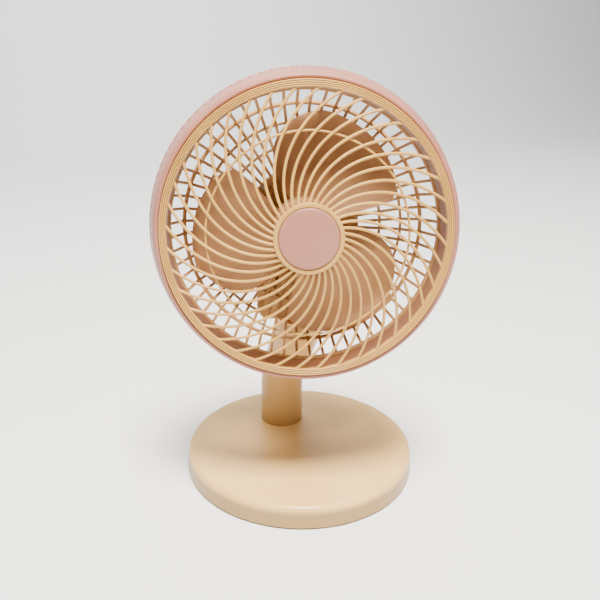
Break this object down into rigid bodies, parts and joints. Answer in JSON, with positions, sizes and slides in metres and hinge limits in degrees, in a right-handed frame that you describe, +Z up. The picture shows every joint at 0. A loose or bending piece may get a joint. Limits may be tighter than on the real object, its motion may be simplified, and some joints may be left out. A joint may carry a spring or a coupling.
{
  "type": "desk fan",
  "caption": "Small desk fan with a round weighted base, bent neck, swivelling and tilting head, spiral-rib guard, drum shell and broad-bladed impeller.",
  "frame": {"origin": "middle of the underside of the non-slip pad, on the surface the fan stands on", "axes": "+Z up, -Y towards the front of the base, +X to the right seen from the front"},
  "size_m": [0.2178, 0.1968, 0.3275],
  "materials": {
    "cream_plastic": "satin moulded",
    "base_plastic": "satin gloss moulded",
    "grille_plastic": "satin moulded",
    "pink_plastic": "satin moulded",
    "blade_plastic": "satin, slightly translucent",
    "pad_foam": "matt foam rubber",
    "zinc_steel": "zinc plated",
    "ballast_steel": "mill finish",
    "board_laminate": "solder mask over glass laminate",
    "lead_jacket": "soft jacket",
    "bush_nylon": "natural nylon",
    "motor_alloy": "die cast",
    "core_steel": "laminated",
    "coil_copper": "enamelled copper wire",
    "dark_plastic": "moulded"
  },
  "bodies": {
    "base": {"non_slip_pad": "pad_foam", "base_plate": "cream_plastic", "base_cover": "base_plastic", "base_screws": "zinc_steel", "ballast_plate": "ballast_steel", "control_board": "board_laminate", "power_socket": "zinc_steel", "neck_tube": "base_plastic", "neck_flange": "cream_plastic", "neck_collar": "base_plastic", "neck_screws": "zinc_steel", "neck_lead": "lead_jacket", "swivel_bush": "bush_nylon"},
    "yoke": {"swivel_yoke": "cream_plastic", "swivel_clip": "zinc_steel"},
    "head": {"tilt_bolt": "zinc_steel", "tilt_nut": "zinc_steel", "tilt_washers": "bush_nylon", "front_grille": "grille_plastic", "centre_cap": "pink_plastic", "drum_shell": "pink_plastic", "rear_grille": "grille_plastic", "grille_screws": "zinc_steel", "rear_housing": "cream_plastic", "housing_screws": "zinc_steel", "motor_base": "motor_alloy", "motor_screws": "zinc_steel", "stator_core": "core_steel", "stator_coils": "coil_copper", "front_bearing": "zinc_steel", "rear_bearing": "zinc_steel", "driver_board": "board_laminate", "board_screws": "zinc_steel", "button_switch": "dark_plastic"},
    "impeller": {"fan_blade": "blade_plastic", "rotor_ring": "core_steel", "rotor_magnets": "dark_plastic", "motor_shaft": "zinc_steel", "shaft_clip": "zinc_steel"},
    "speed_button": {"speed_button": "pink_plastic"}
  },
  "joints": [
    {"name": "head_swivel", "type": "hinge", "parent": "base", "child": "yoke", "pos_m": [0, 0.0013, 0.133], "axis": [0, 0, 1], "range_deg": [-26.5, 63.5]},
    {"name": "head_tilt", "type": "hinge", "parent": "yoke", "child": "head", "pos_m": [0, 0.0013, 0.165], "axis": [-0.9484, 0.317, 0], "range_deg": [-4, 20]},
    {"name": "fan_spin", "type": "hinge", "parent": "head", "child": "impeller", "pos_m": [-0.02219, -0.06511, 0.22032], "axis": [-0.3155, -0.9439, 0.0979], "continuous": true},
    {"name": "button_press", "type": "slide", "parent": "head", "child": "speed_button", "axis": [-0.3155, -0.9439, 0.0979], "range_m": [0, 0.0015], "stiffness_N_per_m": 400}
  ]
}
